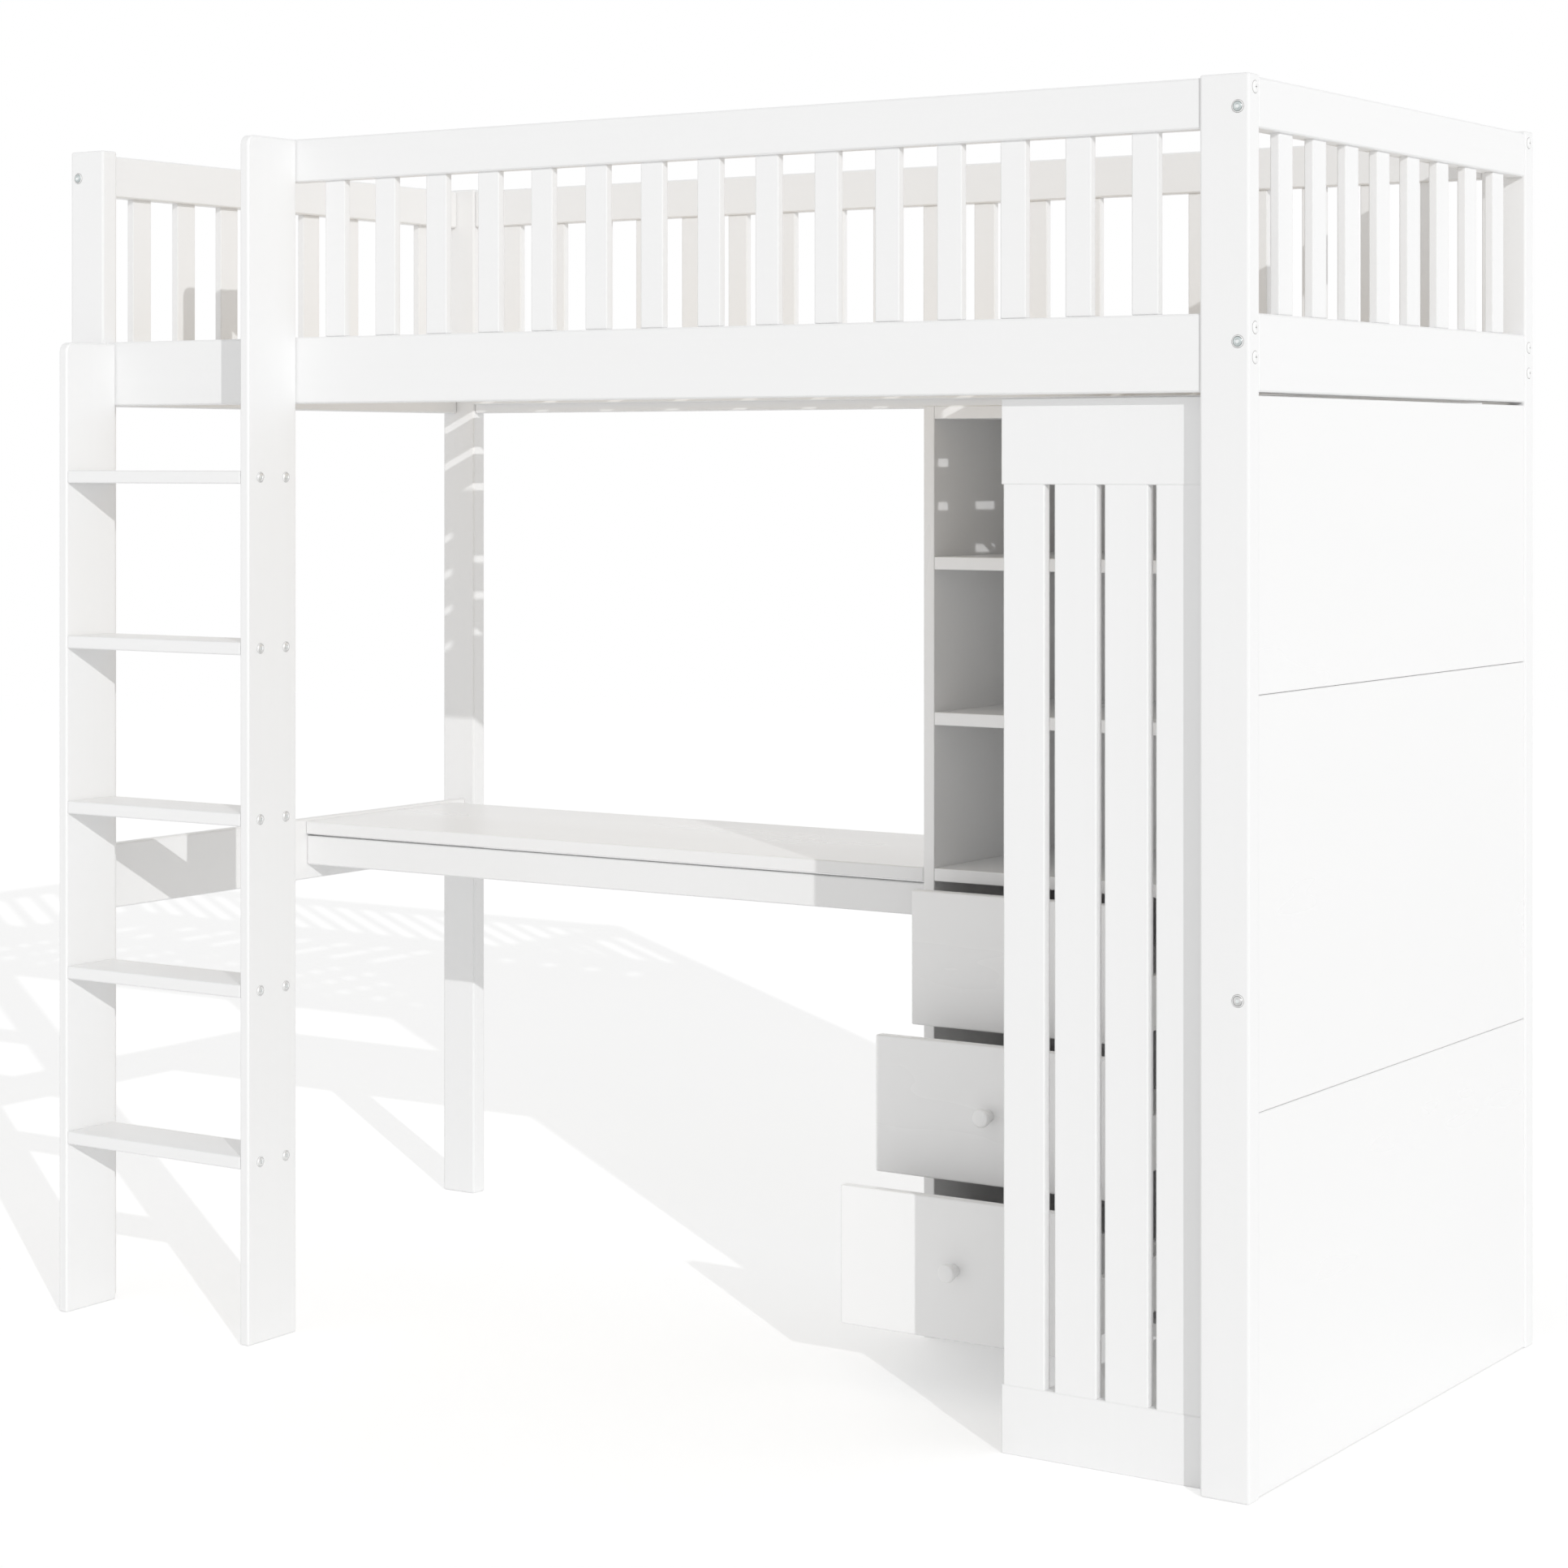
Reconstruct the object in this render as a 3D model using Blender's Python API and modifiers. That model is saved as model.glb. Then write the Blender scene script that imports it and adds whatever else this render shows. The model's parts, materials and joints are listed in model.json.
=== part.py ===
"""Loft bed with a ladder, a desk, a drawer cabinet and a wardrobe corner behind a slatted screen.

Metres, +Z up. The origin is on the floor at the centre of the footprint, ladder included.
+X is the wardrobe end and -Y is the side with the ladder, the drawers and the screen.
"""
import math

import bmesh
import bpy
from mathutils import Vector

# Overall sizes
LENGTH = 2.072
WIDTH = 0.971
HEIGHT = 1.820
LADDER_DEPTH = 0.1045
GAP = 0.0003

LEFT = -LENGTH / 2
RIGHT = LENGTH / 2
FRONT = (LADDER_DEPTH - WIDTH) / 2
REAR = FRONT + WIDTH

# Posts, rails and guards
POST_WIDE = 0.070
POST_DEEP = 0.031
POST_EDGE = 0.003
RAIL_THICK = 0.024
END_THICK = 0.030
RAIL_BOTTOM = 1.4142
RAIL_TOP = 1.5150
RAIL_SETBACK = 0.004
END_SETBACK = 0.001
GUARD_TOP = 1.8168
GUARD_RAIL_HIGH = 0.0655
SLAT_WIDE = 0.0385
SLAT_THICK = 0.013
SLAT_TENON = 0.008
SLAT_SETBACK = 0.0055
LONG_PITCH = 0.0982
LONG_SLATS = 19
LONG_FIRST = 0.1318
END_PITCH = 0.1037
END_SLATS = 8
RIGHT_FIRST = 0.1020
LEFT_FIRST = 0.1200
END_SLAT_WIDE = 0.0415

# Slatted base and the cleats that carry it
CLEAT_BOTTOM = 1.430
CLEAT_HIGH = 0.025
CLEAT_WIDE = 0.020
BASE_SLATS = 14
BASE_PITCH = 0.1425
BASE_SLAT_WIDE = 0.082
BASE_SLAT_THICK = 0.017
BASE_SIDE_PLAY = 0.004
STRAP_WIDE = 0.020
STRAP_THICK = 0.002

# Ladder
STILE_THICK = 0.0175
STILE_LEFT_X = LEFT + 0.0774
STILE_RIGHT_X = LEFT + 0.4548
STILE_LOW_TOP = 1.512
STILE_TALL_TOP = 1.8164
STILE_ROUND = 0.015
RUNG_COUNT = 5
RUNG_FIRST = 0.2729
RUNG_PITCH = 0.25735
RUNG_THICK = 0.0195

# Sheet boards and the desk
BOARD = 0.0195
DESK_TOP = 0.7112
DESK_THICK = 0.0215
DESK_FRONT = FRONT + 0.505
DESK_DEEP = 0.3985
APRON_TOP = 0.6865
APRON_HIGH = 0.0490
APRON_SETBACK = 0.003
END_BOARD_TOP = 0.7147
END_BOARD_HIGH = 0.1026
END_BOARD_INNER = LEFT + 0.0505

# Drawer cabinet
CABINET_LEFT = RIGHT - 0.7875
CABINET_WIDE = 0.4235
CABINET_SIDE = 0.0186
CABINET_TOP = 1.4100
CABINET_DEEP = 0.400
BACK_THICK = 0.005
SHELF_TOPS = (1.1822, 0.9471, DESK_TOP)
CABINET_FLOOR = 0.0735

# Drawers, numbered from the top, with how far each is pulled out at rest
DRAWER_TOPS = (0.6855, 0.4834, 0.2794)
DRAWER_PULLS = (0.0690, 0.1700, 0.2664)
DRAWER_HIGH = 0.2010
DRAWER_FRONT_THICK = 0.018
DRAWER_GAP = 0.0015
DRAWER_SIDE = 0.012
DRAWER_BOX_HIGH = 0.080
DRAWER_BOX_RISE = 0.018
DRAWER_DEEP = 0.350
DRAWER_BOTTOM = 0.004
RUNNER_HIGH = 0.012
RUNNER_WIDE = 0.0125
KNOB_RADIUS = 0.0135
KNOB_LONG = 0.026

# Wardrobe corner
SCREEN_LEFT = RIGHT - 0.380
SCREEN_RIGHT = RIGHT - 0.0305
SCREEN_THICK = 0.018
SCREEN_TOP = 1.4100
SCREEN_TOP_BOARD = 0.1150
SCREEN_FOOT_BOARD = 0.0930
SCREEN_FIRST_SLAT = 0.0025
SCREEN_SLOTS = ((0.0652, 0.0802), (0.1431, 0.1552), (0.2194, 0.2307))
PANEL_SEAMS = (0.4930, 1.0267)
PANEL_THICK = 0.026
PANEL_SETBACK = 0.0025
PANEL_TOP = 1.4100
PLATFORM_TOP = 0.0595
ROD_RADIUS = 0.0125
ROD_HEIGHT = 1.330

BOARD_EDGE = 0.0015
ROUND_STEPS = 24


def clear_scene():
    for old in list(bpy.data.objects):
        bpy.data.objects.remove(old, do_unlink=True)


def new_collection(name):
    collection = bpy.data.collections.new(name)
    bpy.context.scene.collection.children.link(collection)
    return collection


def make_material(name, color, roughness, metallic=0.0):
    material = bpy.data.materials.new(name)
    material.use_nodes = True
    shader = material.node_tree.nodes["Principled BSDF"]
    shader.inputs["Base Color"].default_value = (*color, 1.0)
    shader.inputs["Roughness"].default_value = roughness
    shader.inputs["Metallic"].default_value = metallic
    return material


clear_scene()
BED = new_collection("loft_bed_with_desk")
JOINERY = new_collection("joinery_cutters")
MATERIALS = {
    "white_paint": make_material("white_paint", (0.86, 0.86, 0.85), 0.42),
    "white_board": make_material("white_board", (0.87, 0.87, 0.86), 0.35),
    "pine_slats": make_material("pine_slats", (0.82, 0.71, 0.57), 0.60),
    "white_knob": make_material("white_knob", (0.85, 0.85, 0.84), 0.30),
    "steel": make_material("steel", (0.62, 0.63, 0.64), 0.32, 1.0),
}


def add_object(name, mesh, place, slot, parent=None, collection=BED):
    """Place a mesh whose own origin sits at the world point `place`."""
    piece = bpy.data.objects.new(name, mesh)
    collection.objects.link(piece)
    piece.location = place
    if parent:
        piece.parent = parent
        piece.location = Vector(place) - parent.location
    piece.data.materials.append(MATERIALS[slot])
    if collection is JOINERY:
        piece.hide_render = True
        piece.display_type = "WIRE"
    return piece


def box_mesh(name, size):
    mesh = bpy.data.meshes.new(name)
    shape = bmesh.new()
    bmesh.ops.create_cube(shape, size=1.0)
    bmesh.ops.scale(shape, vec=size, verts=shape.verts)
    shape.to_mesh(mesh)
    shape.free()
    return mesh


def bevel(piece, width, segments=1):
    edge = piece.modifiers.new("edge", "BEVEL")
    edge.width = width
    edge.segments = segments
    edge.limit_method = "ANGLE"
    edge.angle_limit = math.radians(30)


def board(name, low, high, slot="white_paint", edge=BOARD_EDGE, segments=1, parent=None,
          collection=BED):
    """A straight board between two corners, with eased edges."""
    low, high = Vector(low), Vector(high)
    mesh = box_mesh(name, high - low)
    piece = add_object(name, mesh, (low + high) / 2, slot, parent, collection)
    if edge:
        bevel(piece, edge, segments)
    return piece


def cylinder(name, centre, radius, length, axis, slot="steel", parent=None, collection=BED,
             segments=ROUND_STEPS):
    """A round bar along X, Y or Z."""
    mesh = bpy.data.meshes.new(name)
    shape = bmesh.new()
    bmesh.ops.create_cone(shape, cap_ends=True, segments=segments, radius1=radius,
                          radius2=radius, depth=length)
    shape.to_mesh(mesh)
    shape.free()
    mesh.shade_smooth()
    mesh.set_sharp_from_angle(angle=math.radians(40))
    piece = add_object(name, mesh, centre, slot, parent, collection)
    turns = {"X": (0, math.pi / 2, 0), "Y": (math.pi / 2, 0, 0), "Z": (0, 0, 0)}
    piece.rotation_euler = turns[axis]
    return piece


def boolean(piece, other, operation="UNION"):
    cut = piece.modifiers.new(other.name, "BOOLEAN")
    cut.operation = operation
    cut.solver = "EXACT"
    if isinstance(other, bpy.types.Collection):
        cut.operand_type = "COLLECTION"
        cut.collection = other
    else:
        cut.object = other


def joinery_group(name, pieces):
    """Hidden pieces that are glued onto a visible one by a single Boolean."""
    group = bpy.data.collections.new(name)
    JOINERY.children.link(group)
    for piece in pieces:
        JOINERY.objects.unlink(piece)
        group.objects.link(piece)
    return group


def empty(name, place):
    marker = bpy.data.objects.new(name, None)
    marker.location = place
    BED.objects.link(marker)
    return marker


def make_posts():
    corners = {
        "front_left": (LEFT, FRONT),
        "front_right": (RIGHT - POST_WIDE, FRONT),
        "rear_left": (LEFT, REAR - POST_DEEP),
        "rear_right": (RIGHT - POST_WIDE, REAR - POST_DEEP),
    }
    for corner, (x, y) in corners.items():
        board(f"post_{corner}", (x, y, 0), (x + POST_WIDE, y + POST_DEEP, HEIGHT),
              edge=POST_EDGE, segments=2)


def long_face(side):
    """The front and back faces of a long rail on the given side of the bed."""
    if side == "front":
        return FRONT + RAIL_SETBACK, FRONT + RAIL_SETBACK + RAIL_THICK
    return REAR - RAIL_SETBACK - RAIL_THICK, REAR - RAIL_SETBACK


def make_side_rails():
    """Each long rail has a cleat along its inner face for the slatted base."""
    x_low = LEFT + POST_WIDE + GAP
    x_high = RIGHT - POST_WIDE - GAP
    for side in ("front", "rear"):
        y_low, y_high = long_face(side)
        board(f"{side}_side_rail", (x_low, y_low, RAIL_BOTTOM), (x_high, y_high, RAIL_TOP),
              edge=0.002)
        cleat_low = y_high + GAP if side == "front" else y_low - GAP - CLEAT_WIDE
        board(f"{side}_cleat", (x_low + 0.010, cleat_low, CLEAT_BOTTOM),
              (x_high - 0.010, cleat_low + CLEAT_WIDE, CLEAT_BOTTOM + CLEAT_HIGH))


def make_end_rails():
    y_low = FRONT + POST_DEEP + GAP
    y_high = REAR - POST_DEEP - GAP
    for side, x_low in (("left", LEFT + END_SETBACK), ("right", RIGHT - END_SETBACK - END_THICK)):
        board(f"{side}_end_rail", (x_low, y_low, RAIL_BOTTOM), (x_low + END_THICK, y_high, RAIL_TOP),
              edge=0.002)


def guard(name, low, high, slat_lows, slat_size):
    """A top rail with its glued slats, which stand on the rail below."""
    rail = board(name, low, high, edge=0.002)
    slats = []
    for index, place in enumerate(slat_lows):
        corner = Vector((*place, RAIL_TOP + GAP))
        reach = high[2] - GUARD_RAIL_HIGH + SLAT_TENON - corner.z
        slats.append(board(f"{name}_slat_{index + 1}", corner,
                           corner + Vector((*slat_size, reach)), edge=0.001, collection=JOINERY))
    boolean(rail, joinery_group(f"{name}_slats", slats))


def make_guards():
    z_low = GUARD_TOP - GUARD_RAIL_HIGH
    for side in ("front", "rear"):
        y_low, y_high = long_face(side)
        x_low = STILE_RIGHT_X if side == "front" else LEFT + POST_WIDE + GAP
        starts = [LEFT + LONG_FIRST + LONG_PITCH * index for index in range(LONG_SLATS)]
        slat_y = y_low + SLAT_SETBACK if side == "front" else y_high - SLAT_SETBACK - SLAT_THICK
        places = [(x, slat_y) for x in starts if x > x_low]
        guard(f"{side}_guard", (x_low, y_low, z_low), (RIGHT - POST_WIDE - GAP, y_high, GUARD_TOP),
              places, (SLAT_WIDE, SLAT_THICK))
    left_rail = LEFT + END_SETBACK
    right_rail = RIGHT - END_SETBACK - END_THICK
    ends = (("left", left_rail, left_rail + SLAT_SETBACK, LEFT_FIRST),
            ("right", right_rail, right_rail + END_THICK - SLAT_SETBACK - SLAT_THICK, RIGHT_FIRST))
    for side, x_low, slat_x, first in ends:
        places = [(slat_x, FRONT + first + END_PITCH * index) for index in range(END_SLATS)]
        guard(f"{side}_guard", (x_low, FRONT + POST_DEEP + GAP, z_low),
              (x_low + END_THICK, REAR - POST_DEEP - GAP, GUARD_TOP),
              places, (SLAT_THICK, END_SLAT_WIDE))


def make_slatted_base():
    """Roll-out slats held at their spacing by two straps."""
    z_low = CLEAT_BOTTOM + CLEAT_HIGH + GAP
    z_high = z_low + BASE_SLAT_THICK
    y_low = FRONT + RAIL_SETBACK + RAIL_THICK + BASE_SIDE_PLAY
    y_high = REAR - RAIL_SETBACK - RAIL_THICK - BASE_SIDE_PLAY
    span = BASE_PITCH * (BASE_SLATS - 1)
    slats = []
    for index in range(BASE_SLATS):
        x = -span / 2 + BASE_PITCH * index
        slats.append(board(f"base_slat_{index + 1}", (x - BASE_SLAT_WIDE / 2, y_low, z_low),
                           (x + BASE_SLAT_WIDE / 2, y_high, z_high), edge=0.002,
                           collection=JOINERY))
    reach = span / 2 + BASE_SLAT_WIDE / 2 - 0.005
    straps = []
    for y, group in ((y_low + 0.17, BED), (y_high - 0.17, JOINERY)):
        name = "slatted_base" if group is BED else "base_strap"
        straps.append(board(name, (-reach, y - STRAP_WIDE / 2, z_high - STRAP_THICK / 2),
                            (reach, y + STRAP_WIDE / 2, z_high + STRAP_THICK / 2), "pine_slats",
                            edge=0, collection=group))
    boolean(straps[0], joinery_group("base_slats", slats))
    boolean(straps[0], straps[1])


def round_top_front(mesh, half_size, radius):
    """Round the upper front corner of a stile's mesh, seen from the side."""
    shape = bmesh.new()
    shape.from_mesh(mesh)
    corner = [edge for edge in shape.edges
              if all(v.co.y < -half_size.y + 1e-5 and v.co.z > half_size.z - 1e-5
                     for v in edge.verts)]
    bmesh.ops.bevel(shape, geom=corner, offset=radius, segments=4, profile=0.5, affect="EDGES")
    shape.to_mesh(mesh)
    shape.free()


def make_ladder():
    y_low = FRONT - LADDER_DEPTH
    y_high = FRONT + RAIL_SETBACK - GAP
    stiles = (("left", STILE_LEFT_X, STILE_LOW_TOP), ("right", STILE_RIGHT_X, STILE_TALL_TOP))
    for side, x, top in stiles:
        low = Vector((x, y_low, 0))
        high = Vector((x + STILE_THICK, y_high, top))
        stile = board(f"ladder_stile_{side}", low, high, edge=0)
        round_top_front(stile.data, (high - low) / 2, STILE_ROUND)
        bevel(stile, 0.0025)
    for index in range(RUNG_COUNT):
        z = RUNG_FIRST + RUNG_PITCH * index
        board(f"ladder_rung_{index + 1}",
              (STILE_LEFT_X + STILE_THICK + GAP, y_low + 0.001, z - RUNG_THICK / 2),
              (STILE_RIGHT_X - GAP, y_high - 0.006, z + RUNG_THICK / 2), edge=0.002, segments=2)


def make_desk():
    x_low = END_BOARD_INNER + GAP
    x_high = CABINET_LEFT - GAP
    board("desktop", (x_low, DESK_FRONT, DESK_TOP - DESK_THICK),
          (x_high, DESK_FRONT + DESK_DEEP, DESK_TOP), "white_board")
    board("desk_apron", (x_low, DESK_FRONT + APRON_SETBACK, APRON_TOP - APRON_HIGH),
          (x_high, DESK_FRONT + APRON_SETBACK + BOARD, APRON_TOP))
    board("desk_end_board",
          (END_BOARD_INNER - BOARD, FRONT + POST_DEEP + GAP, END_BOARD_TOP - END_BOARD_HIGH),
          (END_BOARD_INNER, REAR - POST_DEEP - GAP, END_BOARD_TOP), edge=0.002)


def make_cabinet():
    y_low = DESK_FRONT
    y_high = DESK_FRONT + CABINET_DEEP
    x_left = CABINET_LEFT
    x_right = CABINET_LEFT + CABINET_WIDE
    inner_left = x_left + CABINET_SIDE
    inner_right = x_right - CABINET_SIDE
    sides = (("left", x_left, inner_left - 0.002, inner_left + RUNNER_WIDE),
             ("right", inner_right, inner_right - RUNNER_WIDE, inner_right + 0.002))
    for side, x, runner_low, runner_high in sides:
        panel = board(f"cabinet_side_{side}", (x, y_low, 0), (x + CABINET_SIDE, y_high, CABINET_TOP),
                      "white_board", edge=0.001)
        runners = []
        for number, top in enumerate(DRAWER_TOPS, 1):
            z_high = top - DRAWER_HIGH + DRAWER_BOX_RISE - GAP
            runners.append(board(f"runner_{side}_{number}",
                                 (runner_low, y_low + 0.024, z_high - RUNNER_HIGH),
                                 (runner_high, y_high - 0.010, z_high), collection=JOINERY,
                                 edge=0.001))
        boolean(panel, joinery_group(f"runners_{side}", runners))
    x_low = inner_left + GAP
    x_high = inner_right - GAP
    back_face = y_high - BACK_THICK
    shelves = [("cabinet_top", CABINET_TOP), ("cabinet_bottom", CABINET_FLOOR)]
    shelves += [(f"cabinet_shelf_{number}", top) for number, top in enumerate(SHELF_TOPS, 1)]
    for name, top in shelves:
        board(name, (x_low, y_low, top - BOARD), (x_high, back_face - GAP, top), "white_board",
              edge=0.001)
    board("cabinet_back", (x_low, back_face, CABINET_FLOOR - BOARD), (x_high, y_high, CABINET_TOP),
          "white_board", edge=0)


def knob_profile():
    """Half outline of the knob from its crown down to its foot, as (radius, height)."""
    head_thick = 0.011
    neck = 0.007
    crown = []
    for step in range(5):
        angle = math.radians(90 - 22.5 * step)
        crown.append((0.0095 + 0.004 * math.cos(angle) if step else 0.0,
                      KNOB_LONG - 0.004 + 0.004 * math.sin(angle)))
    crown.insert(1, (0.0095, KNOB_LONG))
    lower = [(KNOB_RADIUS, KNOB_LONG - head_thick + 0.003), (neck + 0.002, KNOB_LONG - head_thick),
             (neck, KNOB_LONG - head_thick - 0.004), (neck, 0.004), (0.009, 0.0), (0.0, 0.0)]
    return crown + lower


def make_knob(name, face, parent):
    """A turned knob standing out of the face point, along -Y."""
    mesh = bpy.data.meshes.new(name)
    shape = bmesh.new()
    points = [shape.verts.new((radius, 0, height)) for radius, height in knob_profile()]
    for first, second in zip(points, points[1:]):
        shape.edges.new((first, second))
    shape.to_mesh(mesh)
    shape.free()
    knob = add_object(name, mesh, face, "white_knob", parent)
    knob.rotation_euler = (math.pi / 2, 0, 0)
    turn = knob.modifiers.new("turn", "SCREW")
    turn.angle = math.tau
    turn.steps = 20
    turn.render_steps = 20
    turn.use_merge_vertices = True
    turn.merge_threshold = 0.00001
    turn.use_smooth_shade = True


def make_drawer(number, top, pull):
    clear_left = CABINET_LEFT + CABINET_SIDE + DRAWER_GAP
    clear_right = CABINET_LEFT + CABINET_WIDE - CABINET_SIDE - DRAWER_GAP
    face = DESK_FRONT - pull
    z_low = top - DRAWER_HIGH
    name = f"drawer_{number}"
    middle = (clear_left + clear_right) / 2
    slide = empty(f"{name}_slide", (middle, face, z_low + DRAWER_HIGH / 2))
    board(f"{name}_front", (clear_left, face, z_low), (clear_right, face + DRAWER_FRONT_THICK, top),
          "white_board", edge=0.0025, segments=2, parent=slide)
    box_front = face + DRAWER_FRONT_THICK + GAP
    box_rear = face + DRAWER_DEEP
    box_low = z_low + DRAWER_BOX_RISE
    box_high = box_low + DRAWER_BOX_HIGH
    for side, x in (("left", clear_left), ("right", clear_right - DRAWER_SIDE)):
        board(f"{name}_side_{side}", (x, box_front, box_low), (x + DRAWER_SIDE, box_rear, box_high),
              "white_board", edge=0.001, parent=slide)
    x_low = clear_left + DRAWER_SIDE + GAP
    x_high = clear_right - DRAWER_SIDE - GAP
    board(f"{name}_back", (x_low, box_rear - DRAWER_SIDE, box_low), (x_high, box_rear, box_high),
          "white_board", edge=0.001, parent=slide)
    board(f"{name}_bottom", (x_low, box_front, box_low),
          (x_high, box_rear - DRAWER_SIDE - GAP, box_low + DRAWER_BOTTOM), "white_board",
          edge=0, parent=slide)
    make_knob(f"{name}_knob", (middle, face - GAP, z_low + DRAWER_HIGH / 2), slide)


def make_end_panels():
    """Three boards close the end of the wardrobe."""
    x_high = RIGHT - PANEL_SETBACK
    levels = (0.0015, *PANEL_SEAMS, PANEL_TOP)
    for number, (bottom, top) in enumerate(zip(levels, levels[1:]), 1):
        board(f"end_panel_{number}",
              (x_high - PANEL_THICK, FRONT + POST_DEEP + GAP, bottom + GAP),
              (x_high, REAR - POST_DEEP - GAP, top - GAP), "white_board", edge=0.001)


def make_wardrobe_inside():
    panel_face = RIGHT - PANEL_SETBACK - PANEL_THICK
    cabinet_right = CABINET_LEFT + CABINET_WIDE
    screen_back = FRONT + POST_DEEP + GAP + SCREEN_THICK
    board("wardrobe_floor", (SCREEN_LEFT, screen_back + GAP, PLATFORM_TOP - BOARD),
          (panel_face - GAP, DESK_FRONT - GAP, PLATFORM_TOP), "white_board")
    length = panel_face - cabinet_right - 2 * GAP
    cylinder("clothes_rod", ((panel_face + cabinet_right) / 2, DESK_FRONT + 0.2, ROD_HEIGHT),
             ROD_RADIUS, length, "X")


def make_screen():
    """Upright boards glued between a top and a foot board, standing behind the front post."""
    y_low = FRONT + POST_DEEP + GAP
    y_high = y_low + SCREEN_THICK
    z_top = SCREEN_TOP - SCREEN_TOP_BOARD
    screen = board("wardrobe_screen", (SCREEN_LEFT, y_low, z_top), (SCREEN_RIGHT, y_high, SCREEN_TOP),
                   edge=0.001)
    foot = board("screen_foot", (SCREEN_LEFT, y_low, 0), (SCREEN_RIGHT, y_high, SCREEN_FOOT_BOARD),
                 collection=JOINERY, edge=0.001)
    tenon = 0.010
    starts = [SCREEN_FIRST_SLAT, *(slot_end for _, slot_end in SCREEN_SLOTS)]
    ends = [*(slot_start for slot_start, _ in SCREEN_SLOTS),
            SCREEN_RIGHT - SCREEN_LEFT - SCREEN_FIRST_SLAT]
    slats = []
    for number, (start, end) in enumerate(zip(starts, ends), 1):
        slats.append(board(f"screen_slat_{number}",
                           (SCREEN_LEFT + start, y_low + 0.0008, SCREEN_FOOT_BOARD - tenon),
                           (SCREEN_LEFT + end, y_high - 0.0008, z_top + tenon),
                           collection=JOINERY, edge=0.0015))
    boolean(screen, joinery_group("screen_slats", slats))
    boolean(screen, foot)


make_posts()
make_side_rails()
make_end_rails()
make_guards()
make_slatted_base()
make_ladder()
make_desk()
make_cabinet()
for drawer_number, (drawer_top, drawer_pull) in enumerate(zip(DRAWER_TOPS, DRAWER_PULLS), 1):
    make_drawer(drawer_number, drawer_top, drawer_pull)
make_end_panels()
make_wardrobe_inside()
make_screen()
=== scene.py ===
import json
import math

import bmesh
import bpy
from mathutils import Matrix, Vector


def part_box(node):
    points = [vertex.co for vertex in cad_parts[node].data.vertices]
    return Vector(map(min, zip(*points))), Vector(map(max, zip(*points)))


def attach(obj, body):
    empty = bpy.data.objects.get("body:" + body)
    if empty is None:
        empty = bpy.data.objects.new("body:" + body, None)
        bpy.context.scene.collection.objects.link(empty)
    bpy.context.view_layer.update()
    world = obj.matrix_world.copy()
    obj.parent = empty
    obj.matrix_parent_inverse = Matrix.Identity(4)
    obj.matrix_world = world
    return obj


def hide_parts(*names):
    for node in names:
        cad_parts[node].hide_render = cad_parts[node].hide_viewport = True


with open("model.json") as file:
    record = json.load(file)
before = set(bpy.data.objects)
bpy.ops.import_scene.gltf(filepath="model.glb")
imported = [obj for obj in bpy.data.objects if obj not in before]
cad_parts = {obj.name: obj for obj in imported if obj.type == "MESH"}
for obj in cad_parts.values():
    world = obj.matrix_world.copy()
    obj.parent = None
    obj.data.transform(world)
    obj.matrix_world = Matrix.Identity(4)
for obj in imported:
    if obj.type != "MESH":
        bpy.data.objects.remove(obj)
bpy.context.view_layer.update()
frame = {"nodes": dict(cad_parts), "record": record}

# The looks of the loft bed: painted wood, lacquered board, turned knobs and metal fasteners.
# Metres and degrees, in the frame's axes: +X to the wardrobe end, -Y to the ladder side, +Z up.

# Linear colours
PAINT = (0.902, 0.903, 0.903)
PAINT_THIN = (0.872, 0.871, 0.868)
LACQUER = (0.911, 0.911, 0.910)
LACQUER_DULL = (0.893, 0.892, 0.889)
MELAMINE = (0.970, 0.969, 0.966)
MELAMINE_DULL = (0.952, 0.950, 0.946)
PINE_PALE = (0.860, 0.765, 0.640)
PINE_GRAIN = (0.755, 0.625, 0.475)
ZINC = (0.660, 0.710, 0.710)
ZINC_DULL = (0.520, 0.570, 0.570)
TUBE = (0.640, 0.645, 0.650)
TUBE_DULL = (0.520, 0.525, 0.530)
NICKEL = (0.950, 0.952, 0.950)
NICKEL_DULL = (0.870, 0.872, 0.870)
WORN_NICKEL = (0.740, 0.742, 0.738)
WORN_NICKEL_DULL = (0.600, 0.602, 0.598)
# Painted highlight: the bright metal on a socket's floor stands in for a reflection
SOCKET_HIGHLIGHT = (0.950, 0.965, 0.965)
# Painted shade: greys for the contact line round a fastener's foot, the gap inside a collar, and
# the walls and floor of a recess
SEAM_SHADE = (0.420, 0.420, 0.410)
SEAM_SHADE_DEEP = (0.300, 0.300, 0.290)
SEAM_SHADE_PALE = (0.680, 0.680, 0.675)
FLOOR_PALE = (0.910, 0.910, 0.905)
FLOOR_DULL = (0.880, 0.880, 0.880)

# Fasteners, by where they sit on a post or a stile
BOLT_INSET = 0.0158
BOLT_HEIGHTS = (1.7774, 1.4782, 0.6394)
SCREW_INSET = 0.0177
SCREW_HEIGHTS = (1.8026, 1.4961, 1.4582)
RUNG_BOLT_INSETS = (0.0268, 0.0841)
COLLAR_RADIUS = 0.0080
HEAD_RADIUS = 0.0063
CAP_RADIUS = 0.0080
RUNG_COLLAR_RADIUS = 0.0076
RUNG_HEAD_RADIUS = 0.0064
FASTENER_SEGMENTS = 48
SHARP_ANGLE = 32.0

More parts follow.
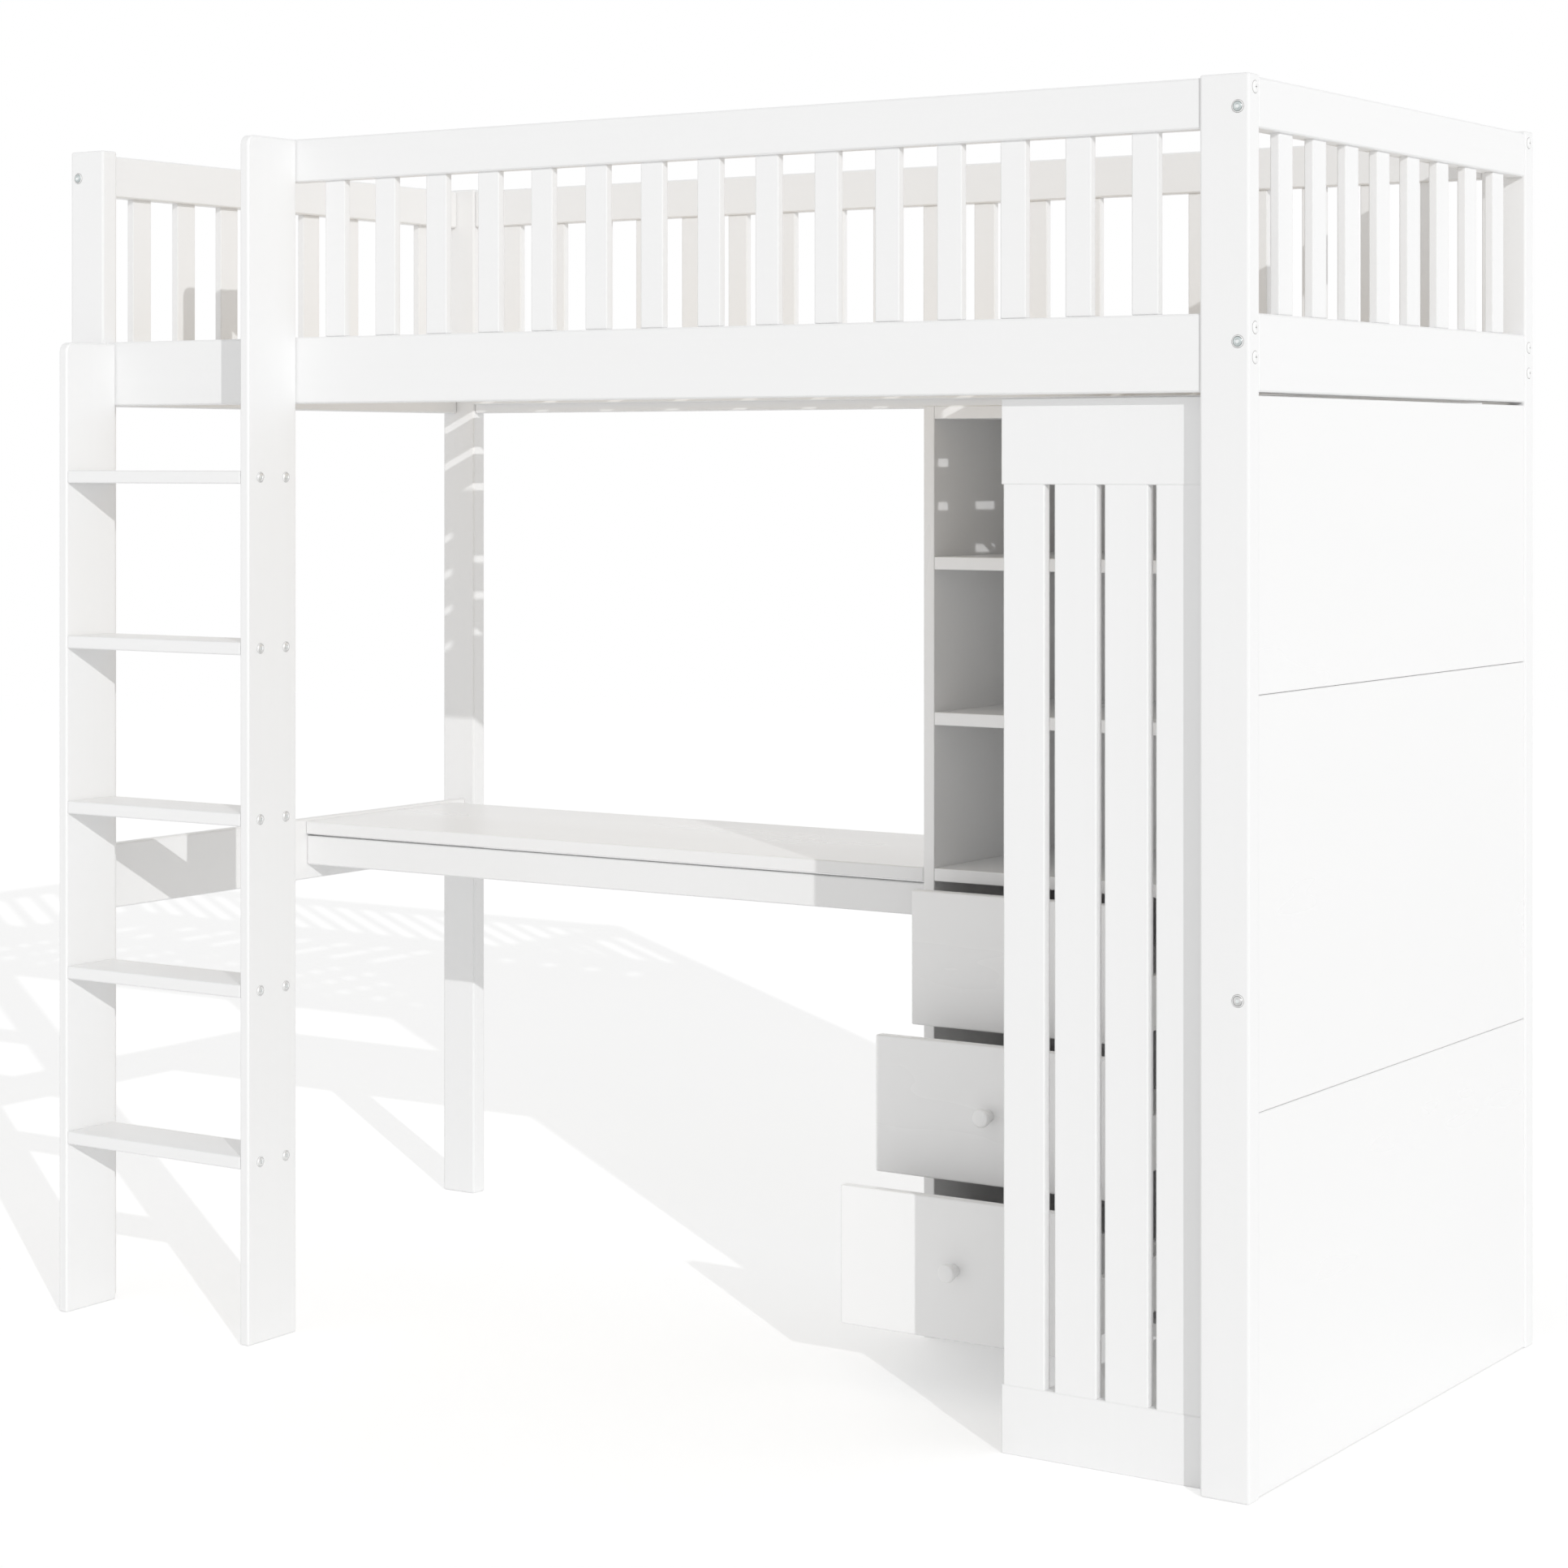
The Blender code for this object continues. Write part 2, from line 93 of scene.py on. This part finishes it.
# A fastener's profile: heights are over the wood's face, shares are of the head's radius
FASTENER_FOOT = -0.0004
SEAM_WIDE = 0.0006
SEAM_HIGH = 0.0002
HEAD_SEAT = 0.0009
HEAD_RISE = 0.0016
HEAD_GAP = 0.0005
HEAD_FLAT_SHARE = 0.60
SOCKET_SHARE = 0.40
SOCKET_DEEP = 0.0009
SOCKET_LIP = 0.0003
COLLAR_HIGH = 0.0016
CAP_SEAT = 0.0003
CAP_RISE = 0.0020
CAP_FLAT_SHARE = 0.55
CAP_CROSS_SHARE = 0.34
CROSS_HALF_WIDTH = 0.26  # of an arm's length

# A knob: a disc with a rounded rim, on a waisted neck
KNOB_SEGMENTS = 56
KNOB_HEAD_THICK = 0.0110
KNOB_RIM_ROUND = 0.0035
KNOB_RIM_STEPS = 6
KNOB_CROWN = 0.0005

# View and light
CAMERA_PLACE = (2.976, -4.440, 1.3223)
CAMERA_TURN = 33.453
CAMERA_LENS = 79.84
CAMERA_RISE = -0.2041
CAMERA_SENSOR = 36.0
CAMERA_REACH = 200.0
SUN_TRAVEL = (-1.283, 1.0, -0.592)
SUN_STRENGTH = 1.22
SUN_SPREAD = 0.35
SKY_STRENGTH = 0.655
BACKDROP_WHITE = (1.0, 1.0, 1.0, 1.0)
FLOOR_GLOW_CAST = 0.12
FLOOR_GLOW_SEEN = 0.30
FLOOR_RADIUS = 60.0
FLOOR_SEGMENTS = 128
FLOOR_FADE_START = 3.5
FLOOR_FADE_END = 15.0


class Graph:
    """A short way to write a material's or a world's nodes."""

    def __init__(self, tree):
        self.tree = tree
        tree.nodes.clear()

    def node(self, kind, **settings):
        made = self.tree.nodes.new(kind)
        for key, value in settings.items():
            setattr(made, key, value)
        return made

    def link(self, source, target):
        self.tree.links.new(source, target)

    def math(self, operation, first, second):
        made = self.node("ShaderNodeMath", operation=operation)
        for socket, value in zip(made.inputs, (first, second)):
            if isinstance(value, (int, float)):
                socket.default_value = value
            else:
                self.link(value, socket)
        return made.outputs[0]

    def remap(self, value, low, high, new_low, new_high):
        made = self.node("ShaderNodeMapRange")
        for name, number in (("From Min", low), ("From Max", high), ("To Min", new_low),
                             ("To Max", new_high)):
            made.inputs[name].default_value = number
        self.link(value, made.inputs["Value"])
        return made.outputs["Result"]

    def mix(self, factor, first, second):
        """A colour between two, each a fixed colour or a socket."""
        made = self.node("ShaderNodeMix", data_type="RGBA")
        self.link(factor, made.inputs["Factor"])
        # A Mix node's colour sockets are inputs 6 and 7 and output 2
        for socket, value in ((made.inputs[6], first), (made.inputs[7], second)):
            if isinstance(value, tuple):
                socket.default_value = (*value, 1.0)
            else:
                self.link(value, socket)
        return made.outputs[2]

    def board_coordinates(self):
        """Object coordinates, shifted on each board by its random value, and that value."""
        place = self.node("ShaderNodeTexCoord").outputs["Object"]
        random = self.node("ShaderNodeObjectInfo").outputs["Random"]
        spread = self.node("ShaderNodeCombineXYZ")
        for socket, factor in zip(spread.inputs, (7.0, 11.0, 13.0)):
            self.link(self.math("MULTIPLY", random, factor), socket)
        shifted = self.node("ShaderNodeVectorMath", operation="ADD")
        self.link(place, shifted.inputs[0])
        self.link(spread.outputs[0], shifted.inputs[1])
        return shifted.outputs[0], random

    def noise(self, place, scale, detail=3.0, roughness=0.55):
        """Noise that is stretched where a scale is low: `scale` is per axis, per metre."""
        mapping = self.node("ShaderNodeMapping")
        mapping.inputs["Scale"].default_value = scale
        self.link(place, mapping.inputs["Vector"])
        made = self.node("ShaderNodeTexNoise")
        made.inputs["Scale"].default_value = 1.0
        made.inputs["Detail"].default_value = detail
        made.inputs["Roughness"].default_value = roughness
        self.link(mapping.outputs[0], made.inputs["Vector"])
        return made.outputs["Fac"]

    def edge_mask(self, radius):
        """1 on the eased edges of a board and 0 on its flat faces, and the eased normal."""
        rounded = self.node("ShaderNodeBevel", samples=4)
        rounded.inputs["Radius"].default_value = radius
        flat = self.node("ShaderNodeNewGeometry").outputs["Normal"]
        dot = self.node("ShaderNodeVectorMath", operation="DOT_PRODUCT")
        self.link(rounded.outputs[0], dot.inputs[0])
        self.link(flat, dot.inputs[1])
        return self.remap(dot.outputs["Value"], 0.999, 0.93, 0.0, 1.0), rounded.outputs[0]

    def bump(self, height, strength, distance, normal=None):
        made = self.node("ShaderNodeBump")
        made.inputs["Strength"].default_value = strength
        made.inputs["Distance"].default_value = distance
        self.link(height, made.inputs["Height"])
        if normal is not None:
            self.link(normal, made.inputs["Normal"])
        return made.outputs[0]

    def surface(self, colour, roughness, normal, **constants):
        shader = self.node("ShaderNodeBsdfPrincipled")
        self.link(colour, shader.inputs["Base Color"])
        self.link(roughness, shader.inputs["Roughness"])
        self.link(normal, shader.inputs["Normal"])
        for name, value in constants.items():
            shader.inputs[name.replace("_", " ")].default_value = value
        output = self.node("ShaderNodeOutputMaterial")
        self.link(shader.outputs[0], output.inputs["Surface"])


def new_graph(name):
    material = bpy.data.materials.new(name)
    material.use_nodes = True
    return material, Graph(material.node_tree)


def stretched(axis, along, across):
    """A noise scale that runs along one axis, 0 for X, 1 for Y, 2 for Z."""
    return tuple(along if index == axis else across for index in range(3))


def painted_wood(axis):
    """Satin white paint, with the wood's grain and the brush faintly under it."""
    material, graph = new_graph(f"painted_wood_{'xyz'[axis]}")
    place, random = graph.board_coordinates()
    grain = graph.noise(place, stretched(axis, 2.2, 95.0), detail=5.0, roughness=0.62)
    brush = graph.noise(place, stretched(axis, 14.0, 900.0), detail=2.0)
    cloud = graph.noise(place, stretched(axis, 2.0, 5.0))
    edge, rounded = graph.edge_mask(0.0022)
    tone = graph.mix(graph.remap(grain, 0.35, 0.75, 0.0, 0.16), PAINT, PAINT_THIN)
    tone = graph.mix(graph.remap(cloud, 0.3, 0.7, 0.0, 0.12), tone, PAINT_THIN)
    tone = graph.mix(graph.remap(random, 0.0, 1.0, 0.0, 0.08), tone, PAINT_THIN)
    worn = graph.math("MULTIPLY", edge, graph.remap(cloud, 0.40, 0.62, 0.05, 0.45))
    colour = graph.mix(worn, tone, PAINT_THIN)
    roughness = graph.remap(graph.math("ADD", cloud, grain), 0.7, 1.3, 0.36, 0.48)
    normal = graph.bump(grain, 0.14, 0.0004, rounded)
    normal = graph.bump(brush, 0.12, 0.00012, normal)
    graph.surface(colour, roughness, normal, Coat_Weight=0.08, Coat_Roughness=0.25)
    return material


def white_board(kind, axis, bright, dull):
    """Sprayed or faced white board: smoother than the paint, with a fine orange peel."""
    material, graph = new_graph(f"{kind}_board_{'xyz'[axis]}")
    place, random = graph.board_coordinates()
    peel = graph.noise(place, (420.0, 420.0, 420.0), detail=1.5)
    sweep = graph.noise(place, stretched(axis, 1.2, 6.0))
    speck = graph.noise(place, (160.0, 160.0, 160.0), detail=6.0, roughness=0.7)
    edge, rounded = graph.edge_mask(0.0015)
    tone = graph.mix(graph.remap(sweep, 0.3, 0.7, 0.0, 0.35), bright, dull)
    tone = graph.mix(graph.remap(speck, 0.55, 0.8, 0.0, 0.20), tone, dull)
    tone = graph.mix(graph.remap(random, 0.0, 1.0, 0.0, 0.25), tone, dull)
    worn = graph.math("MULTIPLY", edge, graph.remap(sweep, 0.4, 0.65, 0.05, 0.5))
    colour = graph.mix(worn, tone, dull)
    roughness = graph.remap(sweep, 0.3, 0.7, 0.26, 0.34)
    normal = graph.bump(peel, 0.06, 0.00012, rounded)
    graph.surface(colour, roughness, normal, Coat_Weight=0.12, Coat_Roughness=0.18)
    return material


def bare_pine():
    """The bed base: bare sanded pine, with its growth rings and a fine fibre."""
    material, graph = new_graph("bare_pine")
    place, _ = graph.board_coordinates()
    warp = graph.noise(place, stretched(1, 1.5, 9.0), detail=4.0)
    ring_place = graph.node("ShaderNodeMapping")
    ring_place.inputs["Scale"].default_value = stretched(1, 0.7, 60.0)
    graph.link(place, ring_place.inputs["Vector"])
    rings = graph.node("ShaderNodeTexWave", wave_type="RINGS", rings_direction="Y")
    rings.inputs["Scale"].default_value = 0.55
    rings.inputs["Distortion"].default_value = 5.0
    rings.inputs["Detail"].default_value = 3.0
    graph.link(ring_place.outputs[0], rings.inputs["Vector"])
    fibre = graph.noise(place, stretched(1, 6.0, 500.0), detail=4.0)
    figure = graph.math("MULTIPLY", rings.outputs["Fac"], warp)
    tone = graph.mix(graph.remap(figure, 0.1, 0.6, 0.0, 0.55), PINE_PALE, PINE_GRAIN)
    colour = graph.mix(graph.remap(fibre, 0.4, 0.7, 0.0, 0.25), tone, PINE_GRAIN)
    roughness = graph.remap(warp, 0.3, 0.7, 0.55, 0.70)
    normal = graph.bump(fibre, 0.30, 0.0003)
    graph.surface(colour, roughness, normal)
    return material


def plated_metal(name, bright, dull, roughness_range):
    """Plated or brushed steel, with a fine grain and duller patches."""
    material, graph = new_graph(name)
    place = graph.node("ShaderNodeTexCoord").outputs["Object"]
    grain = graph.noise(place, (900.0, 900.0, 2400.0), detail=3.0)
    patch = graph.noise(place, (240.0, 240.0, 240.0), detail=4.0)
    colour = graph.mix(graph.remap(patch, 0.35, 0.7, 0.0, 1.0), bright, dull)
    roughness = graph.remap(grain, 0.3, 0.7, *roughness_range)
    normal = graph.bump(grain, 0.15, 0.00005)
    graph.surface(colour, roughness, normal, Metallic=0.9)
    return material


def fitting_plastic():
    """White plastic of the screw caps and the bolts' collars, slightly glossier than the paint."""
    material, graph = new_graph("fitting_plastic")
    place = graph.node("ShaderNodeTexCoord").outputs["Object"]
    mottle = graph.noise(place, (300.0, 300.0, 300.0), detail=3.0)
    colour = graph.mix(graph.remap(mottle, 0.3, 0.75, 0.0, 1.0), LACQUER, PAINT_THIN)
    roughness = graph.remap(mottle, 0.3, 0.7, 0.22, 0.32)
    normal = graph.bump(mottle, 0.08, 0.0001)
    graph.surface(colour, roughness, normal)
    return material


def seam_shadow(name, light, dark):
    """Painted shade: the dark line where a fastener meets the wood, and the darkened walls of its
    recess, mottled at random.
    """
    material, graph = new_graph(name)
    place = graph.node("ShaderNodeTexCoord").outputs["Object"]
    shade_mottle = graph.noise(place, (1200.0, 1200.0, 1200.0))
    colour = graph.mix(graph.remap(shade_mottle, 0.3, 0.7, 0.0, 0.5), light, dark)
    roughness = graph.remap(shade_mottle, 0.3, 0.7, 0.55, 0.70)
    normal = graph.bump(shade_mottle, 0.1, 0.00005)
    graph.surface(colour, roughness, normal)
    return material


PAINTED = [painted_wood(axis) for axis in range(3)]
LACQUERED = [white_board("lacquered", axis, LACQUER, LACQUER_DULL) for axis in range(3)]
FACED = [white_board("faced", axis, MELAMINE, MELAMINE_DULL) for axis in range(3)]
PINE = bare_pine()
ZINC_PLATE = plated_metal("zinc_plate", ZINC, ZINC_DULL, (0.24, 0.36))
STEEL_TUBE = plated_metal("steel_tube", TUBE, TUBE_DULL, (0.26, 0.38))
CAP_PLASTIC = fitting_plastic()
NICKEL_PLATE = plated_metal("nickel_plate", NICKEL, NICKEL_DULL, (0.34, 0.46))
WORN_PLATE = plated_metal("worn_nickel", WORN_NICKEL, WORN_NICKEL_DULL, (0.30, 0.42))
# Painted highlight: bright metal for the sockets' floors
SOCKET_FLOOR_HIGHLIGHT = plated_metal("socket_floor_highlight", SOCKET_HIGHLIGHT, ZINC, (0.30, 0.42))
# Painted shade at the fasteners: darker for the posts' bolts and caps, paler for the rung bolts
SEAM_SHADE_DARK = seam_shadow("seam", SEAM_SHADE, SEAM_SHADE_DEEP)
SEAM_SHADE_SOFT = seam_shadow("pale_seam", SEAM_SHADE_PALE, SEAM_SHADE)


def longest_axis(node):
    low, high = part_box(node)
    sides = high - low
    return max(range(3), key=lambda index: sides[index])


def paint_frame():
    """Each board's grain runs along its longest side."""
    slots = {part["node"]: part["material_slot"] for part in frame["record"]["subparts"]}
    for name, piece in frame["nodes"].items():
        slot = slots[name]
        if slot == "white_paint":
            material = PAINTED[longest_axis(name)]
        elif slot == "pine_slats":
            material = PINE
        elif slot == "steel":
            material = STEEL_TUBE
        elif name.startswith(("cabinet", "drawer")):
            material = FACED[longest_axis(name)]
        else:
            material = LACQUERED[longest_axis(name)]
        piece.data.materials.clear()
        piece.data.materials.append(material)


def round_outline(angle):
    return 1.0


def hexagon_outline(angle):
    """A hexagon one unit across its half flats."""
    turned = (angle + math.pi / 6) % (math.pi / 3) - math.pi / 6
    return 1.0 / math.cos(turned)


def cross_outline(angle):
    """A plus sign with arms one unit long."""
    turned = abs((angle + math.pi / 4) % (math.pi / 2) - math.pi / 4)
    arm = 1.0 / math.cos(turned)
    if turned < 1e-6:
        return arm
    return min(arm, CROSS_HALF_WIDTH / math.sin(turned))


def turned_mesh(name, shells, materials, segments=FASTENER_SEGMENTS):
    """Closed solids of revolution about Z.

    Each shell is a list of (radius, height, outline, material index), from the crown's middle
    outwards and down. The material index is that of the faces between a ring and the next.
    """
    mesh = bpy.data.meshes.new(name)
    shape = bmesh.new()
    for shell in shells:
        rings = []
        for radius, height, outline, slot in shell:
            ring = []
            for step in range(segments):
                angle = math.tau * step / segments
                reach = radius * outline(angle)
                ring.append(shape.verts.new((reach * math.cos(angle), reach * math.sin(angle),
                                             height)))
            rings.append((ring, slot))
        top = shape.faces.new(rings[0][0])
        top.material_index = rings[0][1]
        for (upper, slot), (lower, _) in zip(rings, rings[1:]):
            for step in range(segments):
                after = (step + 1) % segments
                face = shape.faces.new((upper[step], lower[step], lower[after], upper[after]))
                face.material_index = slot
        bottom = shape.faces.new(reversed(rings[-1][0]))
        bottom.material_index = rings[-1][1]
    bmesh.ops.recalc_face_normals(shape, faces=shape.faces)
    for face in shape.faces:
        face.smooth = True
    shape.to_mesh(mesh)
    shape.free()
    mesh.set_sharp_from_angle(angle=math.radians(SHARP_ANGLE))
    for material in materials:
        mesh.materials.append(material)
    return mesh


def dome(radius, foot, rise, share, slot, steps=4):
    """Rings of a domed crown from `share` of its radius down to its rim."""
    rings = []
    for step in range(steps + 1):
        angle = math.asin(share) + (math.pi / 2 - math.asin(share)) * step / steps
        rings.append((radius * math.sin(angle), foot + rise * math.cos(angle), round_outline, slot))
    return rings


def seam_ring(radius, slot):
    """A thin dark disc that shows as a line round a fastener's foot: a painted contact shadow."""
    return [
        (radius * 0.5, SEAM_HIGH, round_outline, slot),
        (radius + SEAM_WIDE, SEAM_HIGH, round_outline, slot),
        (radius + SEAM_WIDE, FASTENER_FOOT, round_outline, slot),
    ]


def bolt_head(radius, collar_radius):
    """A button head with a hexagonal socket, standing in a collar.

    The mesh's materials are the head's, the socket floor's, the collar's and the seam's: the socket
    floor's is a painted highlight, and the seam's is painted shade in the socket, in the gap inside
    the collar and round the collar's foot.
    """
    socket = radius * SOCKET_SHARE
    crown = HEAD_SEAT + HEAD_RISE
    inner = radius + HEAD_GAP
    head = [
        # The socket's floor takes the painted highlight, most of its walls the painted shade
        (socket * 0.94, crown - SOCKET_DEEP, hexagon_outline, 1),
        (socket, crown - SOCKET_DEEP + 0.0002, hexagon_outline, 3),
        (socket, crown - SOCKET_LIP, hexagon_outline, 0),
        (socket * 1.12, crown, hexagon_outline, 0),
        *dome(radius, HEAD_SEAT, HEAD_RISE, HEAD_FLAT_SHARE, 0),
        (radius, FASTENER_FOOT, round_outline, 0),
    ]
    collar = [
        # The lower part of the collar's inner wall, in the gap round the head, takes the painted
        # shade
        (inner, 0.0004, round_outline, 3),
        (inner, 0.0012, round_outline, 2),
        (inner + 0.0004, COLLAR_HIGH, round_outline, 2),
        (collar_radius - 0.0006, COLLAR_HIGH - 0.0001, round_outline, 2),
        (collar_radius - 0.0001, 0.0009, round_outline, 2),
        (collar_radius, FASTENER_FOOT, round_outline, 2),
    ]
    return [head, collar, seam_ring(collar_radius, 3)]


def screw_cap(radius):
    """A white domed cap with a small cross in its crown, and a seam round its foot.

    The mesh's materials are the cap's and the seam's; the seam's is painted shade on the cross's
    floor and round the cap's foot.
    """
    cross = radius * CAP_CROSS_SHARE
    cap = [
        # The cross's floor takes the painted shade
        (cross * 0.9, 0.0008, cross_outline, 1),
        (cross, 0.0010, cross_outline, 0),
        (cross, 0.00195, cross_outline, 0),
        (cross * 1.15, 0.0021, round_outline, 0),
        *dome(radius, CAP_SEAT, CAP_RISE, CAP_FLAT_SHARE, 0),
        (radius, FASTENER_FOOT, round_outline, 0),
    ]
    return [cap, seam_ring(radius, 1)]


def facing(direction):
    """A turn that brings a fastener's +Z axis to the given direction."""
    return Vector(direction).to_track_quat("Z", "Y").to_matrix().to_4x4()


def fix(name, mesh, place, direction):
    """Puts a fastener on the bed's frame."""
    piece = bpy.data.objects.new(name, mesh)
    bpy.context.scene.collection.objects.link(piece)
    piece.matrix_world = Matrix.Translation(place) @ facing(direction)
    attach(piece, "root")


def make_post_fasteners():
    """Bolts in the posts' front and rear faces, and capped screws in their outer sides."""
    bolt = turned_mesh("post_bolt", bolt_head(HEAD_RADIUS, COLLAR_RADIUS),
                       (ZINC_PLATE, SOCKET_FLOOR_HIGHLIGHT, CAP_PLASTIC, SEAM_SHADE_DARK))
    low_bolt = turned_mesh("post_low_bolt", bolt_head(HEAD_RADIUS, COLLAR_RADIUS),
                           (WORN_PLATE, SOCKET_FLOOR_HIGHLIGHT, CAP_PLASTIC, SEAM_SHADE_DARK))
    cap = turned_mesh("post_screw_cap", screw_cap(CAP_RADIUS), (CAP_PLASTIC, SEAM_SHADE_DARK))
    for end in ("left", "right"):
        outward = 1 if end == "right" else -1
        for row in ("front", "rear"):
            forward = -1 if row == "front" else 1
            low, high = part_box(f"post_{row}_{end}")
            outer_x = high.x if end == "right" else low.x
            face_y = low.y if row == "front" else high.y
            for number, height in enumerate(BOLT_HEIGHTS, 1):
                place = (outer_x - outward * BOLT_INSET, face_y, height)
                head = low_bolt if height == BOLT_HEIGHTS[-1] else bolt
                fix(f"post_bolt_{row}_{end}_{number}", head, place, (0, forward, 0))
            for number, height in enumerate(SCREW_HEIGHTS, 1):
                place = (outer_x, face_y - forward * SCREW_INSET, height)
                fix(f"post_cap_{row}_{end}_{number}", cap, place, (outward, 0, 0))


def make_ladder_fasteners():
    """Two bolts through each stile into the end of each rung."""
    bolt = turned_mesh("rung_bolt", bolt_head(RUNG_HEAD_RADIUS, RUNG_COLLAR_RADIUS),
                       (NICKEL_PLATE, SOCKET_FLOOR_HIGHLIGHT, CAP_PLASTIC, SEAM_SHADE_SOFT))
    rungs = [name for name in frame["nodes"] if name.startswith("ladder_rung_")]
    for side, outward in (("left", -1), ("right", 1)):
        low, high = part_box(f"ladder_stile_{side}")
        outer_x = high.x if side == "right" else low.x
        for rung in sorted(rungs):
            rung_low, rung_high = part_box(rung)
            middle = (rung_low.z + rung_high.z) / 2
            for number, inset in enumerate(RUNG_BOLT_INSETS, 1):
                fix(f"rung_bolt_{side}_{rung[-1]}_{number}", bolt,
                    (outer_x, low.y + inset, middle), (outward, 0, 0))


def knob_rings(radius, length):
    """A knob's rings, from its slightly crowned face down to its foot."""
    head = length - KNOB_HEAD_THICK
    rim = length - KNOB_CROWN - KNOB_RIM_ROUND
    profile = [(radius * 0.30, length - 0.0001), (radius * 0.72, length - 0.0003)]
    for step in range(1, KNOB_RIM_STEPS + 1):
        turn = math.pi / 2 * step / KNOB_RIM_STEPS
        profile.append((radius - KNOB_RIM_ROUND + KNOB_RIM_ROUND * math.sin(turn),
                        rim + KNOB_RIM_ROUND * math.cos(turn)))
    profile += [
        (radius, head + 0.0035),
        (radius - 0.0008, head + 0.0012),
        (radius - 0.0040, head),
        (radius * 0.56, head - 0.0022),
        (radius * 0.52, head - 0.0060),
        (radius * 0.54, 0.0030),
        (radius * 0.66, 0.0004),
        (radius * 0.66, 0.0),
    ]
    return [(reach, height, round_outline, 0) for reach, height in profile]


def make_knobs():
    """Finely turned knobs in place of the coarse ones of the frame."""
    for number in (1, 2, 3):
        node = f"drawer_{number}_knob"
        low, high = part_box(node)
        rings = knob_rings((high.x - low.x) / 2, high.y - low.y)
        mesh = turned_mesh(f"turned_knob_{number}", [rings], (FACED[1],), KNOB_SEGMENTS)
        knob = bpy.data.objects.new(f"turned_knob_{number}", mesh)
        bpy.context.scene.collection.objects.link(knob)
        middle = (low + high) / 2
        knob.matrix_world = Matrix.Translation((middle.x, high.y, middle.z)) @ facing((0, -1, 0))
        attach(knob, f"drawer_{number}")
        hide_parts(node)


def make_floor():
    """A pale round floor that brightens into the white backdrop far from the bed."""
    mesh = bpy.data.meshes.new("floor")
    shape = bmesh.new()
    bmesh.ops.create_circle(shape, cap_ends=True, segments=FLOOR_SEGMENTS, radius=FLOOR_RADIUS)
    shape.to_mesh(mesh)
    shape.free()
    floor = bpy.data.objects.new("floor", mesh)
    bpy.context.scene.collection.objects.link(floor)
    material, graph = new_graph("pale_floor")
    place = graph.node("ShaderNodeTexCoord").outputs["Object"]
    distance = graph.node("ShaderNodeVectorMath", operation="LENGTH")
    graph.link(place, distance.inputs[0])
    mottle = graph.noise(place, (1.5, 1.5, 1.5), detail=6.0)
    pale = graph.node("ShaderNodeBsdfPrincipled")
    graph.link(graph.mix(mottle, FLOOR_DULL, FLOOR_PALE), pale.inputs["Base Color"])
    pale.inputs["Roughness"].default_value = 0.75
    pale.inputs["Emission Color"].default_value = BACKDROP_WHITE
    seen = graph.node("ShaderNodeLightPath").outputs["Is Camera Ray"]
    graph.link(graph.remap(seen, 0.0, 1.0, FLOOR_GLOW_CAST, FLOOR_GLOW_SEEN),
               pale.inputs["Emission Strength"])
    far = graph.node("ShaderNodeEmission")
    far.inputs["Color"].default_value = BACKDROP_WHITE
    blend = graph.node("ShaderNodeMixShader")
    fade = graph.node("ShaderNodeMapRange", interpolation_type="SMOOTHSTEP")
    fade.inputs["From Min"].default_value = FLOOR_FADE_START
    fade.inputs["From Max"].default_value = FLOOR_FADE_END
    graph.link(distance.outputs["Value"], fade.inputs["Value"])
    graph.link(fade.outputs["Result"], blend.inputs[0])
    graph.link(pale.outputs[0], blend.inputs[1])
    graph.link(far.outputs[0], blend.inputs[2])
    output = graph.node("ShaderNodeOutputMaterial")
    graph.link(blend.outputs[0], output.inputs["Surface"])
    mesh.materials.append(material)


def make_sky():
    """White behind the bed, with a softer light all round."""
    world = bpy.data.worlds.new("studio")
    bpy.context.scene.world = world
    world.use_nodes = True
    graph = Graph(world.node_tree)
    soft = graph.node("ShaderNodeBackground")
    soft.inputs["Color"].default_value = BACKDROP_WHITE
    soft.inputs["Strength"].default_value = SKY_STRENGTH
    backdrop = graph.node("ShaderNodeBackground")
    backdrop.inputs["Color"].default_value = BACKDROP_WHITE
    blend = graph.node("ShaderNodeMixShader")
    ray = graph.node("ShaderNodeLightPath")
    seen = graph.math("MAXIMUM", ray.outputs["Is Camera Ray"], ray.outputs["Is Glossy Ray"])
    graph.link(seen, blend.inputs[0])
    graph.link(soft.outputs[0], blend.inputs[1])
    graph.link(backdrop.outputs[0], blend.inputs[2])
    output = graph.node("ShaderNodeOutputWorld")
    graph.link(blend.outputs[0], output.inputs["Surface"])


def make_sun():
    """A low light from the front right, which reaches in under the bed."""
    light = bpy.data.lights.new("sun", "SUN")
    light.energy = SUN_STRENGTH
    light.angle = math.radians(SUN_SPREAD)
    sun = bpy.data.objects.new("sun", light)
    sun.rotation_euler = Vector(SUN_TRAVEL).to_track_quat("-Z", "Y").to_euler()
    bpy.context.scene.collection.objects.link(sun)


def make_camera():
    """The photo's view: level, through a long lens that is shifted down."""
    lens = bpy.data.cameras.new("camera")
    lens.lens = CAMERA_LENS
    lens.sensor_width = CAMERA_SENSOR
    lens.shift_y = CAMERA_RISE
    lens.clip_end = CAMERA_REACH
    camera = bpy.data.objects.new("camera", lens)
    camera.location = CAMERA_PLACE
    camera.rotation_euler = (math.pi / 2, 0.0, math.radians(CAMERA_TURN))
    bpy.context.scene.collection.objects.link(camera)
    bpy.context.scene.camera = camera


paint_frame()
make_post_fasteners()
make_ladder_fasteners()
make_knobs()
make_floor()
make_sky()
make_sun()
make_camera()
bpy.context.scene.view_settings.view_transform = "Standard"
